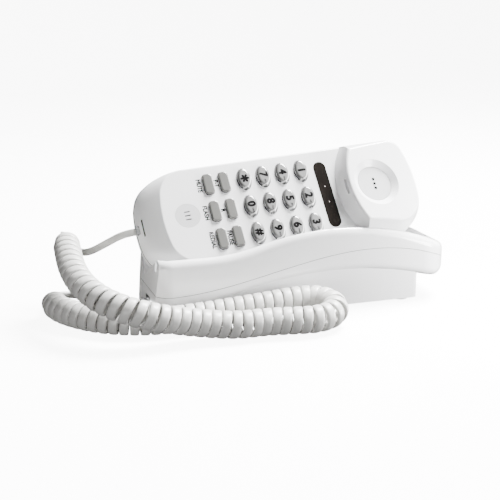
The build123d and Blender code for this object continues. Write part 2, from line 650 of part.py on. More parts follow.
def coil_lengths():
    """The coil's route cut at the middle of some runs, so that each length is a simple tube."""
    cuts = [0] + COIL_CUTS + [len(COIL_ROUTE) - 1]
    lengths = {}
    for number, (first, last) in enumerate(zip(cuts, cuts[1:]), 1):
        points = list(COIL_ROUTE[first + 1:last + 1])
        start = COIL_ROUTE[0] if first == 0 else halfway(COIL_ROUTE[first], COIL_ROUTE[first + 1])
        if last < len(COIL_ROUTE) - 1:
            points.append(halfway(COIL_ROUTE[last], COIL_ROUTE[last + 1]))
        lengths[f"curly_coil_{number}"] = [start] + points
    return lengths


def build_cord():
    """The coil and both leads, from plug to plug; each end leaves its plug or coil squarely."""
    tip = MIC_TIP + SOCKET_MOUTH - PLUG_OUT
    exit_face = at_handset(Pos(tip, 0, PLUG_LINE) * Sphere(1)).center()
    exit_way = at_handset(Pos(tip - 8.0, 0, PLUG_LINE) * Sphere(1)).center()
    near, far = COIL_ROUTE[0], COIL_ROUTE[-1]
    mouth = Vector(BASE_LEFT + 1.4 - PLUG_OUT, *JACK_AT)
    handset_lead = [exit_face, exit_way] + HANDSET_LEAD + [beyond(near, COIL_ROUTE[1], 7.0), near]
    base_lead = [far, beyond(far, COIL_ROUTE[-2], 7.0)] + BASE_LEAD + [mouth - Vector(7.5, 0, 0), mouth]
    tubes = {"handset_lead": cord_tube("handset lead", handset_lead, CORD)}
    for name, points in coil_lengths().items():
        tubes[name] = cord_tube(name, points, COIL)
    tubes["base_lead"] = cord_tube("base lead", base_lead, CORD)
    return tubes


def main():
    """Build every piece, stand the telephone on its origin and write one file per piece."""
    pieces = build_handset() | build_base()
    span = Compound([shape for name, shape in pieces.items() if not name.endswith("_plug")]).bounding_box()
    shift = Location((-(span.min.X + span.max.X) / 2, -(span.min.Y + span.max.Y) / 2, -span.min.Z))
    print("shift", shift.position, "size", span.size)
    os.makedirs("parts", exist_ok=True)
    for name, shape in (pieces | build_cord()).items():
        export_step(shape.moved(shift), f"parts/{name}.step")


if __name__ == "__main__":
    main()
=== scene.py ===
"""Looks of a compact corded telephone: shells, domed keys, printed marks, curly cord, table and light."""

import json
import math

import bmesh
import bpy
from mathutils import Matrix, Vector
from mathutils.bvhtree import BVHTree


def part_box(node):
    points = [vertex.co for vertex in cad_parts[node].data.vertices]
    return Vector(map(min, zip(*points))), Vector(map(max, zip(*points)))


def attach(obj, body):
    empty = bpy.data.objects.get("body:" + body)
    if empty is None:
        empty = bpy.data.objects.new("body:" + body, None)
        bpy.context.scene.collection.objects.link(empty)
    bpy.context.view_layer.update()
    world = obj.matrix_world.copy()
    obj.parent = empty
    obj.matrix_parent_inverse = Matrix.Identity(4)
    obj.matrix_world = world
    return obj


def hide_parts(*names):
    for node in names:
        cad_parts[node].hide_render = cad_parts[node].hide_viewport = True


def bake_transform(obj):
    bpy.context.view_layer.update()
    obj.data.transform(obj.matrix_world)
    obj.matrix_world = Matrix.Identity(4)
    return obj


MM = 0.001

# The cord, in metres in the CAD part's own frame: the same route as its CAD solids.
COIL_ROUTE = [
    (-0.142, 0.031, 0.047), (-0.144, 0.010, 0.0435), (-0.145, -0.011, 0.0385),
    (-0.142, -0.029, 0.033), (-0.134, -0.045, 0.028), (-0.121, -0.055, 0.0235),
    (-0.105, -0.0585, 0.0185), (-0.088, -0.0575, 0.014), (-0.071, -0.058, 0.0105),
    (-0.054, -0.0605, 0.0088), (-0.036, -0.060, 0.0088), (-0.017, -0.064, 0.0088),
    (-0.003, -0.0655, 0.0088), (0.0095, -0.060, 0.010), (0.012, -0.049, 0.0125),
    (0.003, -0.0385, 0.0135), (-0.014, -0.038, 0.013), (-0.034, -0.0385, 0.0115),
    (-0.054, -0.038, 0.010), (-0.075, -0.0375, 0.0088), (-0.097, -0.0385, 0.0088),
    (-0.115, -0.034, 0.0088), (-0.131, -0.025, 0.0088), (-0.144, -0.011, 0.0088),
    (-0.153, 0.006, 0.0088), (-0.154, 0.024, 0.0088),
]
HANDSET_LEAD = [
    (-0.118, 0.0155, 0.046), (-0.1265, 0.0255, 0.0385), (-0.131, 0.038, 0.0345),
    (-0.136, 0.049, 0.0375), (-0.1405, 0.050, 0.046),
]
BASE_LEAD = [
    (-0.149, 0.043, 0.0055), (-0.138, 0.0495, 0.003), (-0.127, 0.043, 0.0026),
    (-0.1215, 0.0305, 0.0026), (-0.1185, 0.017, 0.0034), (-0.1145, 0.0045, 0.0065),
]
HANDSET_PLUG_FACE = Vector((-0.1004, 0.0089, 0.0534))  # where the cord leaves the handset's plug
HANDSET_PLUG_WAY = Vector((-0.1084, 0.0089, 0.0528))   # a point straight out of it
BASE_PLUG_WAY = Vector((-0.108, -0.003, 0.0094))
BASE_PLUG_FACE = Vector((-0.1005, -0.003, 0.0094))
SOCKET_MOUTH_X = -0.0966     # where the base's cord socket opens
SOCKET_MIDDLE_Y = -0.003     # the middle of its width
SQUARE_END = 7 * MM          # straight run of the cord outside each end of the coil
COIL_RADIUS = 7.35 * MM      # from the coil's centre line to the middle of the cord
COIL_PITCH = 6.3 * MM
STRETCHED_PITCH = 6.6 * MM   # where the coil comes down to the table
STRETCHED_SPAN = (0.12, 0.42)  # the part with that pitch, as shares of the coil's length
STRETCHED_EASE = 0.12        # the share over which the pitch changes at each end of it
COIL_RAMP = 11 * MM          # over which the cord winds out from its lead to the coil's full radius
STEPS_PER_TURN = 24
LEAD_STEP = 1.5 * MM         # between the cord's sections outside the coil
CORD_WIDTH = 5.6 * MM        # the flat cord, wider where it is wound
LEAD_WIDTH = 4.8 * MM
CORD_THICKNESS = 2.4 * MM
CORD_SIDES = 14
SQUARENESS = 0.6             # of the cord's section: 1 is an ellipse, lower is squarer
HANDEDNESS = -1              # which way the coil winds
LEAD_TWIST = 1.2             # radians, turns the flat of the lead to the front

NUMERAL_HEIGHT = 5.2 * MM
NUMERAL_WEIGHT = 0.42 * MM   # how much bolder than the typeface's thin strokes, each side
STAR_HEIGHT = 8.5 * MM       # the typeface draws its star small
NUMERAL_ASIDE = 0.8 * MM     # towards the start of the line, where small letters follow
LETTER_HEIGHT = 1.1 * MM
LETTER_WEIGHT = 0.05 * LETTER_HEIGHT
LETTERS_ASIDE = 3.9 * MM
LABEL_HEIGHT = 2.9 * MM
LABEL_WEIGHT = 0.055 * LABEL_HEIGHT
LABEL_SQUEEZE = 0.9          # width as a share of the typeface's own
CAPITAL_SHARE = 0.73         # height of the typeface's capitals as a share of its size
BOLD_COPIES = 6              # round each stroke, to thicken it
PRINT_EDGE = 0.4 * MM        # a printed mark's edges above this are halved before it is laid on a surface
PRINT_HALVINGS = 4           # at most
ABOVE = 20 * MM              # where rays onto a surface start, outside it
FAR_LABEL_ASIDE = 6.2 * MM   # beside the far column of function keys
NEAR_LABEL_ASIDE = 5.4 * MM  # in the gap between the two columns
PRINT_PROUD = 0.06 * MM
SEAM_WIDTH = 0.34 * MM       # shadow line where two covers meet
SEAM_REACH = 0.12 * MM       # how near two covers are where they meet
SEAM_ANGLE = 40              # degrees, the least turn of the surface at a cover's edge
SEAM_MARGIN = 7 * MM         # seams further than this inside the base's outline are left out
SEAM_SIDES = 6
SEAM_OVERLAP = 0.3           # how far each length runs on past its ends, as a share of the width
SAME_POINT = 0.005 * MM      # corners nearer than this are joined
HOLE_RADIUS = 0.95 * MM
HOLE_SPACING = 3.2 * MM
HOLE_PROUD = 4 * PRINT_PROUD
LAMP_RADIUS = 0.36 * MM
LAMP_ASIDE = 5.5 * MM        # from the middle of the lens
DISC_SIDES = 16
DISC_RINGS = [(0.6, 0.08), (1.0, 0.0)]  # radius and rise of a small dome's rings, as shares of its radius
DISC_CROWN = 0.12            # rise of its middle

TABLE_FRONT = -2.5
TABLE_BACK = 1.2
TABLE_HALF = 4.0             # half its width
SWEEP = 0.8                  # radius of the curve from the table into the backdrop
SWEEP_STEPS = 12
BACKDROP_TOP = 3.5

CAMERA_PLACE = Vector((-0.2353, -0.6231, 0.2196))
CAMERA_ELEVATION = 15.5      # degrees above the table
CAMERA_LEFT = 18.5           # degrees round from the front to the left
LENS = 75.0                  # millimetres
SENSOR_WIDTH = 36.0
AMBIENT = 0.15
LIGHT_AIM = (0, 0, 0.04)
# name, place, width and height, power
LIGHTS = [
    ("overhead", (0.42, 0.16, 0.80), (0.40, 0.40), 84.0),
    ("right", (0.17, -0.12, 0.05), (0.08, 0.08), 1.3),
    ("front_left", (-0.30, -0.42, 0.04), (0.35, 0.08), 1.1),
]

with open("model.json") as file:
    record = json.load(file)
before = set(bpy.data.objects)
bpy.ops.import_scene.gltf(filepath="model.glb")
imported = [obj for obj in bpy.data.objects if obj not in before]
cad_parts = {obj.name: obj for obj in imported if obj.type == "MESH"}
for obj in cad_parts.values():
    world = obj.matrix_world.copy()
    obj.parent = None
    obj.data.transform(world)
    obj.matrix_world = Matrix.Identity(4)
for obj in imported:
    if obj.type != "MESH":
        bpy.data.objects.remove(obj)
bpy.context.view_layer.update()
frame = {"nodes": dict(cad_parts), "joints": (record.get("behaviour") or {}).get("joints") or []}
# The CAD part's own origin, from where the frame has the base's cord socket.
socket_low, socket_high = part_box("base_cord_jack")
MODEL_ORIGIN = Vector((
    socket_low.x - SOCKET_MOUTH_X, (socket_low.y + socket_high.y) / 2 - SOCKET_MIDDLE_Y, 0.0))


def centre_of(node):
    """The middle of a CAD node's box."""
    low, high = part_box(node)
    return (low + high) / 2


# The handset's own axes: OUT leaves its face, ALONG runs from the microphone to the earpiece.
OUT = -Vector(next(j["axis"] for j in frame["joints"] if j["name"] == "key_1_press"))
OUT.normalize()
ALONG = (centre_of("key_1") - centre_of("key_star")).normalized()
ACROSS = OUT.cross(ALONG).normalized()


# ---------------------------------------------------------------- node materials

def new_material(name, **values):
    """A Principled material with plain values on its sockets; returns (material, nodes, links, shader)."""
    material = bpy.data.materials.new(name)
    material.use_nodes = True
    nodes, links = material.node_tree.nodes, material.node_tree.links
    shader = nodes["Principled BSDF"]
    for socket, value in values.items():
        shader.inputs[socket.replace("_", " ")].default_value = value
    return material, nodes, links, shader


def object_noise(nodes, links, scale, detail=3.0, stretch=(1, 1, 1)):
    """Noise over the object's own coordinates, in metres; returns the noise node."""
    coordinates = nodes.new("ShaderNodeTexCoord")
    mapping = nodes.new("ShaderNodeMapping")
    mapping.inputs["Scale"].default_value = stretch
    noise = nodes.new("ShaderNodeTexNoise")
    noise.inputs["Scale"].default_value = scale
    noise.inputs["Detail"].default_value = detail
    links.new(coordinates.outputs["Object"], mapping.inputs["Vector"])
    links.new(mapping.outputs["Vector"], noise.inputs["Vector"])
    return noise


def spread(nodes, links, value, low, high):
    """Maps a 0 to 1 output onto low to high; returns the output socket."""
    node = nodes.new("ShaderNodeMapRange")
    node.inputs["To Min"].default_value = low
    node.inputs["To Max"].default_value = high
    links.new(value, node.inputs["Value"])
    return node.outputs["Result"]


def tint(nodes, links, factor, first, second):
    """Mixes two colours by a factor output; returns the colour output."""
    mix = nodes.new("ShaderNodeMix")
    mix.data_type = "RGBA"
    mix.inputs[6].default_value = (*first, 1)
    mix.inputs[7].default_value = (*second, 1)
    links.new(factor, mix.inputs[0])
    return mix.outputs[2]


def add_bump(nodes, links, shader, height, distance):
    """Feeds a height output, in units of distance metres, to the shader's normal."""
    bump = nodes.new("ShaderNodeBump")
    bump.inputs["Distance"].default_value = distance
    bump.inputs["Strength"].default_value = 1.0
    links.new(height, bump.inputs["Height"])
    links.new(bump.outputs["Normal"], shader.inputs["Normal"])


def plastic(name, light, dark, rough, grain, depth, coat=0.0, gloss=0.5):
    """Moulded plastic: a faint drift of colour, a fine grain in the finish and in the roughness."""
    material, nodes, links, shader = new_material(
        name, Coat_Weight=coat, Coat_Roughness=0.06, Specular_IOR_Level=gloss)
    drift = object_noise(nodes, links, 28.0, 2.0)
    links.new(tint(nodes, links, drift.outputs["Fac"], light, dark), shader.inputs["Base Color"])
    fine = object_noise(nodes, links, grain, 4.0)
    links.new(spread(nodes, links, fine.outputs["Fac"], *rough), shader.inputs["Roughness"])
    add_bump(nodes, links, shader, fine.outputs["Fac"], depth)
    return material


def along_axis(nodes, links, direction):
    """How far the surface faces a fixed direction of the model, from -1 to 1."""
    geometry = nodes.new("ShaderNodeNewGeometry")
    dot = nodes.new("ShaderNodeVectorMath")
    dot.operation = "DOT_PRODUCT"
    dot.inputs[1].default_value = direction
    links.new(geometry.outputs["Normal"], dot.inputs[0])
    return dot.outputs["Value"]


def ramp(nodes, links, value, stops):
    """A colour ramp over a value output; stops are (place, colour)."""
    node = nodes.new("ShaderNodeValToRGB")
    elements = node.color_ramp.elements
    while len(elements) < len(stops):
        elements.new(0.5)
    for element, (place, colour) in zip(elements, stops):
        element.position = place
        element.color = (*colour, 1)
    links.new(value, node.inputs["Fac"])
    return node.outputs["Color"]


def domed_key_plastic():
    """Clear dome over a silver-grey backing: painted shade darkens it towards the dome's foot, and a painted
    highlight lays a pale band where light would gather.
    """
    material, nodes, links, shader = new_material(
        "domed_key_plastic", Metallic=0.0, Coat_Weight=1.0, Coat_Roughness=0.04, Specular_IOR_Level=0.6)
    facing = along_axis(nodes, links, OUT)
    # silver-grey with painted shade: darker as the surface turns from the face, near black at the dome's
    # foot
    plate_with_painted_shade = ramp(nodes, links, facing, [
        (0.30, (0.02, 0.02, 0.02)), (0.62, (0.05, 0.05, 0.05)),
        (0.90, (0.14, 0.14, 0.138)), (1.0, (0.20, 0.20, 0.198))])
    # painted highlight: a pale band on the side that faces one fixed way of the model
    side = along_axis(nodes, links, (0.45 * ALONG - 0.9 * ACROSS).normalized())
    painted_highlight = ramp(nodes, links, side, [
        (0.0, (0, 0, 0)), (0.22, (0, 0, 0)), (0.40, (1, 1, 1)), (0.55, (0.2, 0.2, 0.2)), (0.7, (0, 0, 0))])
    # the painted highlight is laid over the shaded silver-grey
    mix = nodes.new("ShaderNodeMix")
    mix.data_type = "RGBA"
    mix.inputs[7].default_value = (0.92, 0.92, 0.91, 1)
    links.new(painted_highlight, mix.inputs[0])
    links.new(plate_with_painted_shade, mix.inputs[6])
    links.new(mix.outputs[2], shader.inputs["Base Color"])
    fine = object_noise(nodes, links, 900.0, 2.0)
    links.new(spread(nodes, links, fine.outputs["Fac"], 0.20, 0.32), shader.inputs["Roughness"])
    return material


def metal(name, colour, rough):
    """Plated metal with fine drawn lines."""
    material, nodes, links, shader = new_material(name, Metallic=1.0)
    lines = object_noise(nodes, links, 300.0, 3.0, (1, 1, 12))
    drawn = spread(nodes, links, lines.outputs["Fac"], rough - 0.08, rough + 0.08)
    links.new(drawn, shader.inputs["Roughness"])
    links.new(tint(nodes, links, lines.outputs["Fac"], colour, tuple(c * 0.8 for c in colour)),
              shader.inputs["Base Color"])
    return material


def circuit_board():
    """Solder mask with a faint pattern of tracks."""
    material, nodes, links, shader = new_material("circuit_board", Coat_Weight=0.4)
    coordinates = nodes.new("ShaderNodeTexCoord")
    cells = nodes.new("ShaderNodeTexVoronoi")
    cells.distance = "MANHATTAN"
    cells.inputs["Scale"].default_value = 260.0
    links.new(coordinates.outputs["Object"], cells.inputs["Vector"])
    links.new(ramp(nodes, links, cells.outputs["Distance"], [
        (0.0, (0.30, 0.24, 0.06)), (0.16, (0.02, 0.10, 0.03)), (1.0, (0.01, 0.07, 0.02))]),
        shader.inputs["Base Color"])
    shader.inputs["Roughness"].default_value = 0.35
    return material


def clear_plastic():
    """The plugs: clear with a slight haze."""
    material, nodes, links, shader = new_material(
        "clear_plastic", Transmission_Weight=0.85, IOR=1.46, Base_Color=(0.93, 0.94, 0.94, 1))
    haze = object_noise(nodes, links, 500.0, 2.0)
    links.new(spread(nodes, links, haze.outputs["Fac"], 0.08, 0.2), shader.inputs["Roughness"])
    return material


def smoked_lens():
    """Near-black glossy window, a little uneven."""
    material, nodes, links, shader = new_material(
        "smoked_lens", Coat_Weight=0.6, Coat_Roughness=0.03, Specular_IOR_Level=0.2, Roughness=0.12)
    drift = object_noise(nodes, links, 90.0, 1.0)
    links.new(tint(nodes, links, drift.outputs["Fac"], (0.005, 0.0045, 0.004), (0.016, 0.013, 0.011)),
              shader.inputs["Base Color"])
    return material


def glowing(name, colour, strength):
    """A pale surface that gives off light: the lamps and the table."""
    material, nodes, links, shader = new_material(name, Roughness=0.2)
    drift = object_noise(nodes, links, 2000.0, 1.0)
    colours = tint(nodes, links, drift.outputs["Fac"], colour, tuple(c * 0.85 for c in colour))
    links.new(colours, shader.inputs["Base Color"])
    links.new(colours, shader.inputs["Emission Color"])
    shader.inputs["Emission Strength"].default_value = strength
    return material


def cord_sheath():
    """Soft PVC: greyish white, a little uneven, with a low sheen."""
    material, nodes, links, shader = new_material(
        "cord_sheath", Coat_Weight=0.25, Coat_Roughness=0.25, Subsurface_Weight=0.08, Subsurface_Scale=0.002,
        Subsurface_Radius=(1, 1, 1))
    drift = object_noise(nodes, links, 60.0, 3.0)
    links.new(tint(nodes, links, drift.outputs["Fac"], (0.60, 0.595, 0.575), (0.52, 0.515, 0.495)),
              shader.inputs["Base Color"])
    fine = object_noise(nodes, links, 1400.0, 3.0)
    links.new(spread(nodes, links, fine.outputs["Fac"], 0.34, 0.50), shader.inputs["Roughness"])
    add_bump(nodes, links, shader, fine.outputs["Fac"], 0.00004)
    return material


def grey(light, dark):
    """A light and a dark neutral grey, for the two ends of a plastic's drift of colour."""
    return (light, light, light), (dark, dark, dark)


WHITE = ((0.86, 0.86, 0.865), (0.82, 0.82, 0.825))
MICROPHONE_GREY = ((0.58, 0.58, 0.585), (0.54, 0.54, 0.545))
EARPIECE_GREY = ((0.50, 0.50, 0.505), (0.46, 0.46, 0.465))
KEY_GREY = ((0.150, 0.150, 0.143), (0.120, 0.120, 0.114))
FOOT_GREY = ((0.55, 0.55, 0.54), (0.48, 0.48, 0.47))
FOAM_GREY = ((0.10, 0.10, 0.11), (0.05, 0.05, 0.06))
MATERIALS = {
    "base_white": plastic("base_white", *WHITE, (0.16, 0.26), 700.0, 0.00001, coat=0.5),
    "handset_white": plastic("handset_white", *WHITE, (0.26, 0.38), 900.0, 0.00002, coat=0.2),
    "microphone_grey": plastic("microphone_grey", *MICROPHONE_GREY, (0.35, 0.45), 900.0, 0.00002),
    "earpiece_white": plastic("earpiece_white", *EARPIECE_GREY, (0.35, 0.45), 900.0, 0.00002),
    "domed_key": domed_key_plastic(),
    "function_key": plastic("function_key", *KEY_GREY, (0.14, 0.22), 600.0, 0.00001, coat=0.8),
    "black_plastic": plastic("black_plastic", *grey(0.02, 0.03), (0.35, 0.5), 900.0, 0.00002),
    "rubber_grey": plastic("rubber_grey", *grey(0.16, 0.12), (0.65, 0.85), 1200.0, 0.00004),
    "foot_grey": plastic("foot_grey", *FOOT_GREY, (0.6, 0.8), 1200.0, 0.00004),
    "foam": plastic("foam", *FOAM_GREY, (0.9, 1.0), 800.0, 0.0002),
    # painted shadow: the dark grey of the lines laid where covers meet
    "painted_seam_shadow": plastic("painted_seam_shadow", *grey(0.10, 0.07), (0.7, 0.9), 900.0, 0.00001, gloss=0.1),
    # black print ink, also used for the painted shade over the earpiece grille's holes
    "ink_and_hole_shade": plastic("ink_and_hole_shade", *grey(0.004, 0.007), (0.6, 0.8), 1500.0, 0.00001, gloss=0.08),
    "steel": metal("steel", (0.62, 0.62, 0.63), 0.3),
    "brass": metal("brass", (0.72, 0.55, 0.25), 0.28),
    "circuit_board": circuit_board(),
    "clear_plastic": clear_plastic(),
    "smoked_lens": smoked_lens(),
    "led": glowing("led", (0.85, 0.80, 0.75), 0.4),
    "cord_sheath": cord_sheath(),
    "table": glowing("table", (0.92, 0.92, 0.92), 10.0),
}
NUMBER_KEYS = {
    "key_1": "1", "key_2": "2", "key_3": "3", "key_4": "4", "key_5": "5", "key_6": "6",
    "key_7": "7", "key_8": "8", "key_9": "9", "key_star": "*", "key_0": "0", "key_hash": "#",
}
KEY_LETTERS = {
    "key_2": "ABC", "key_3": "DEF", "key_4": "GHI", "key_5": "JKL", "key_6": "MNO",
    "key_7": "PRS", "key_8": "TUV", "key_9": "WXY", "key_0": "OPER",
}
FUNCTION_KEYS = {
    "mute_key": ("MUTE", FAR_LABEL_ASIDE), "flash_key": ("FLASH", FAR_LABEL_ASIDE),
    "redial_key": ("REDIAL", FAR_LABEL_ASIDE), "tone_key": ("P-T", NEAR_LABEL_ASIDE),
    "recall_key": ("R", NEAR_LABEL_ASIDE), "pause_key": ("PAUSE", NEAR_LABEL_ASIDE),
}
NODE_FINISH = {
    "base_white": ["base_top_cover", "base_bottom_cover"],
    "handset_white": ["handset_front_cover", "handset_back_cover"],
    "microphone_grey": ["microphone_disc"],
    "earpiece_white": ["earpiece_disc"],
    "domed_key": list(NUMBER_KEYS),
    "function_key": list(FUNCTION_KEYS),
    "black_plastic": ["hook_plunger", "hook_switch", "receiver", "microphone", "base_cord_jack",
                      "handset_cord_jack", "line_jack"],
    "rubber_grey": ["keypad_mat", "microphone_boot"],
    "foot_grey": ["base_feet"],
    "foam": ["receiver_gasket"],
    "steel": ["hook_spring", "ballast_plate", "base_screws", "handset_screws"],
    "brass": ["ringer"],
    "circuit_board": ["base_circuit_board", "handset_circuit_board"],
    "clear_plastic": ["handset_plug", "base_plug"],
    "smoked_lens": ["indicator_lens"],
    "led": ["indicator_leds"],
}


def finish_nodes():
    """Gives every CAD node its finish."""
    for finish, names in NODE_FINISH.items():
        for name in names:
            mesh = frame["nodes"][name].data
            if not mesh.materials:
                mesh.materials.append(MATERIALS[finish])
            for index in range(len(mesh.materials)):
                mesh.materials[index] = MATERIALS[finish]


# ---------------------------------------------------------------- the curly cord

def smooth_line(points):
    """The points of a quadratic spline with these control points, close together."""
    curve = bpy.data.curves.new("cord_route", "CURVE")
    curve.dimensions = "3D"
    spline = curve.splines.new("NURBS")
    spline.points.add(len(points) - 1)
    for slot, point in zip(spline.points, points):
        slot.co = (*point, 1)
    spline.order_u = 3
    spline.use_endpoint_u = True
    spline.resolution_u = 24
    holder = bpy.data.objects.new("cord_route", curve)
    mesh = bpy.data.meshes.new_from_object(holder)
    line = [vertex.co.copy() for vertex in mesh.vertices]
    bpy.data.objects.remove(holder)
    bpy.data.meshes.remove(mesh)
    return line


def line_lengths(line):
    """How far along the line each of its points lies."""
    lengths = [0.0]
    for before, after in zip(line, line[1:]):
        lengths.append(lengths[-1] + (after - before).length)
    return lengths


def at_length(line, lengths, place, start=0):
    """The point of the line at a length from its start, and the index it was found at."""
    index = start
    while index < len(lengths) - 2 and lengths[index + 1] < place:
        index += 1
    run = lengths[index + 1] - lengths[index]
    share = 0.0 if run == 0 else (place - lengths[index]) / run
    return line[index].lerp(line[index + 1], min(max(share, 0.0), 1.0)), index


def eased(value):
    """0 to 1 with level ends."""
    value = min(max(value, 0.0), 1.0)
    return value * value * (3 - 2 * value)


def cord_route():
    """The cord's centre line from plug to plug, and the lengths at which the coil starts and ends."""
    def beyond(end, inner):
        return end + (end - inner).normalized() * SQUARE_END

    coil = [Vector(point) + MODEL_ORIGIN for point in COIL_ROUTE]
    handset_side = [HANDSET_PLUG_FACE + MODEL_ORIGIN, HANDSET_PLUG_WAY + MODEL_ORIGIN]
    handset_side += [Vector(point) + MODEL_ORIGIN for point in HANDSET_LEAD]
    handset_side.append(beyond(coil[0], coil[1]))
    base_side = [beyond(coil[-1], coil[-2])]
    base_side += [Vector(point) + MODEL_ORIGIN for point in BASE_LEAD]
    base_side += [BASE_PLUG_WAY + MODEL_ORIGIN, BASE_PLUG_FACE + MODEL_ORIGIN]
    line = smooth_line(handset_side + coil + base_side)
    lengths = line_lengths(line)

    def nearest(point):
        return min(range(len(line)), key=lambda index: (line[index] - point).length)

    return line, lengths, lengths[nearest(coil[0])], lengths[nearest(coil[-1])]


def cord_path():
    """The line that the cord follows, wound round its route, with its outward directions and widths."""
    line, lengths, coil_start, coil_end = cord_route()
    total = lengths[-1]
    path, outward, widths = [], [], []
    first, last = STRETCHED_SPAN
    place, turn, index = 0.0, LEAD_TWIST, 0
    tangent = (line[1] - line[0]).normalized()
    across = tangent.orthogonal().normalized()
    while place < total:
        centre, index = at_length(line, lengths, place, index)
        ahead, _ = at_length(line, lengths, min(place + MM, total), index)
        behind, _ = at_length(line, lengths, max(place - MM, 0.0))
        tangent = (ahead - behind).normalized()
        across = (across - tangent * across.dot(tangent)).normalized()
        side = tangent.cross(across)
        wound = eased((place - coil_start) / COIL_RAMP) * eased((coil_end - place) / COIL_RAMP)
        along = (place - coil_start) / (coil_end - coil_start)
        stretch = eased((along - first) / STRETCHED_EASE) * eased((last - along) / STRETCHED_EASE)
        pitch = COIL_PITCH + (STRETCHED_PITCH - COIL_PITCH) * stretch
        outside = across * math.cos(turn) + side * math.sin(turn)
        path.append(centre + outside * (COIL_RADIUS * wound))
        outward.append(outside)
        widths.append(LEAD_WIDTH + (CORD_WIDTH - LEAD_WIDTH) * wound)
        step = pitch / STEPS_PER_TURN if coil_start < place < coil_end else LEAD_STEP
        if coil_start < place < coil_end:
            turn += HANDEDNESS * 2 * math.pi / STEPS_PER_TURN
        place += step
    return path, outward, widths


def section_ring(centre, tangent, outside, width):
    """One flat, round-edged section of the cord."""
    outside = (outside - tangent * outside.dot(tangent)).normalized()
    flat_way = tangent.cross(outside)
    ring = []
    for number in range(CORD_SIDES):
        angle = 2 * math.pi * number / CORD_SIDES
        across, up = math.cos(angle), math.sin(angle)
        across = math.copysign(abs(across) ** SQUARENESS, across)
        up = math.copysign(abs(up) ** SQUARENESS, up)
        ring.append(centre + flat_way * (across * width / 2) + outside * (up * CORD_THICKNESS / 2))
    return ring


def build_cord():
    """The whole cord as one flat tube, straight in its leads and wound in its coil."""
    path, outward, widths = cord_path()
    mesh = bmesh.new()
    rings = []
    for index, centre in enumerate(path):
        tangent = (path[min(index + 1, len(path) - 1)] - path[max(index - 1, 0)]).normalized()
        ring = section_ring(centre, tangent, outward[index], widths[index])
        rings.append([mesh.verts.new(point) for point in ring])
    for before, after in zip(rings, rings[1:]):
        for side in range(CORD_SIDES):
            other = (side + 1) % CORD_SIDES
            mesh.faces.new((before[side], before[other], after[other], after[side]))
    mesh.faces.new(list(reversed(rings[0])))
    mesh.faces.new(rings[-1])
    bmesh.ops.recalc_face_normals(mesh, faces=mesh.faces)
    cord = finished_mesh("curly_cord", mesh, "cord_sheath")
    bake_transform(cord)
    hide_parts("handset_lead", "base_lead", *[f"curly_coil_{number}" for number in range(1, 6)])


def finished_mesh(name, mesh, material, smooth=True):
    """A Blender object from a bmesh, shaded smooth, with its material."""
    data = bpy.data.meshes.new(name)
    mesh.to_mesh(data)
    mesh.free()
    for face in data.polygons:
        face.use_smooth = smooth
    piece = bpy.data.objects.new(name, data)
    bpy.context.collection.objects.link(piece)
    data.materials.append(MATERIALS[material])
    return piece


# ---------------------------------------------------------------- printed marks

def surface_of(node):
    """A ray-cast tree over a CAD node's mesh."""
    mesh = bmesh.new()
    mesh.from_mesh(frame["nodes"][node].data)
    tree = BVHTree.FromBMesh(mesh)
    mesh.free()
    return tree


def text_outline(text, height):
    """A flat mesh of the text, centred on the origin, with its capitals this tall."""
    curve = bpy.data.curves.new("mark", "FONT")
    curve.body = text
    curve.size = height / CAPITAL_SHARE
    curve.align_x = "CENTER"
    curve.resolution_u = 5
    holder = bpy.data.objects.new("mark", curve)
    flat = bpy.data.meshes.new_from_object(holder)
    mesh = bmesh.new()
    mesh.from_mesh(flat)
    bpy.data.objects.remove(holder)
    bpy.data.meshes.remove(flat)
    low = min(vertex.co.y for vertex in mesh.verts)
    high = max(vertex.co.y for vertex in mesh.verts)
    left = min(vertex.co.x for vertex in mesh.verts)
    right = max(vertex.co.x for vertex in mesh.verts)
    for vertex in mesh.verts:
        vertex.co -= Vector(((left + right) / 2, (low + high) / 2, 0))
    return mesh


def embolden(mesh, reach):
    """Thicken flat strokes by adding copies of them a little to every side."""
    faces = list(mesh.faces)
    for step in range(BOLD_COPIES):
        angle = 2 * math.pi / BOLD_COPIES * step
        copies = bmesh.ops.duplicate(mesh, geom=faces)["geom"]
        moved = [item for item in copies if isinstance(item, bmesh.types.BMVert)]
        bmesh.ops.translate(mesh, verts=moved, vec=(reach * math.cos(angle), reach * math.sin(angle), 0))


def printed(name, text, centre, height, weight, node, body, squeeze=1.0):
    """A thin printed mark laid on a node's surface; its text runs against ACROSS."""
    mesh = text_outline(text, height)
    for _ in range(PRINT_HALVINGS):
        long_edges = [edge for edge in mesh.edges if edge.calc_length() > PRINT_EDGE]
        if long_edges:
            bmesh.ops.subdivide_edges(mesh, edges=long_edges, cuts=1)
            bmesh.ops.triangulate(mesh, faces=mesh.faces)
    embolden(mesh, weight)
    tree = surface_of(node)
    reading = -ACROSS
    up = OUT.cross(reading)
    for vertex in mesh.verts:
        start = centre + reading * (vertex.co.x * squeeze) + up * vertex.co.y + OUT * ABOVE
        hit = tree.ray_cast(start, -OUT)[0]
        vertex.co = (hit if hit else start - OUT * ABOVE) + OUT * PRINT_PROUD
    piece = finished_mesh(name, mesh, "ink_and_hole_shade", smooth=False)
    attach(piece, body)


def build_numerals():
    """The number, and the small letters after it, on each number key."""
    for key, text in NUMBER_KEYS.items():
        centre = centre_of(key)
        aside = NUMERAL_ASIDE if key in KEY_LETTERS else 0.0
        height = STAR_HEIGHT if text == "*" else NUMERAL_HEIGHT
        printed(f"{key}_numeral", text, centre + ACROSS * aside, height, NUMERAL_WEIGHT, key, key)
        if key in KEY_LETTERS:
            letters_at = centre - ACROSS * LETTERS_ASIDE
            printed(f"{key}_letters", KEY_LETTERS[key], letters_at, LETTER_HEIGHT, LETTER_WEIGHT, key, key)


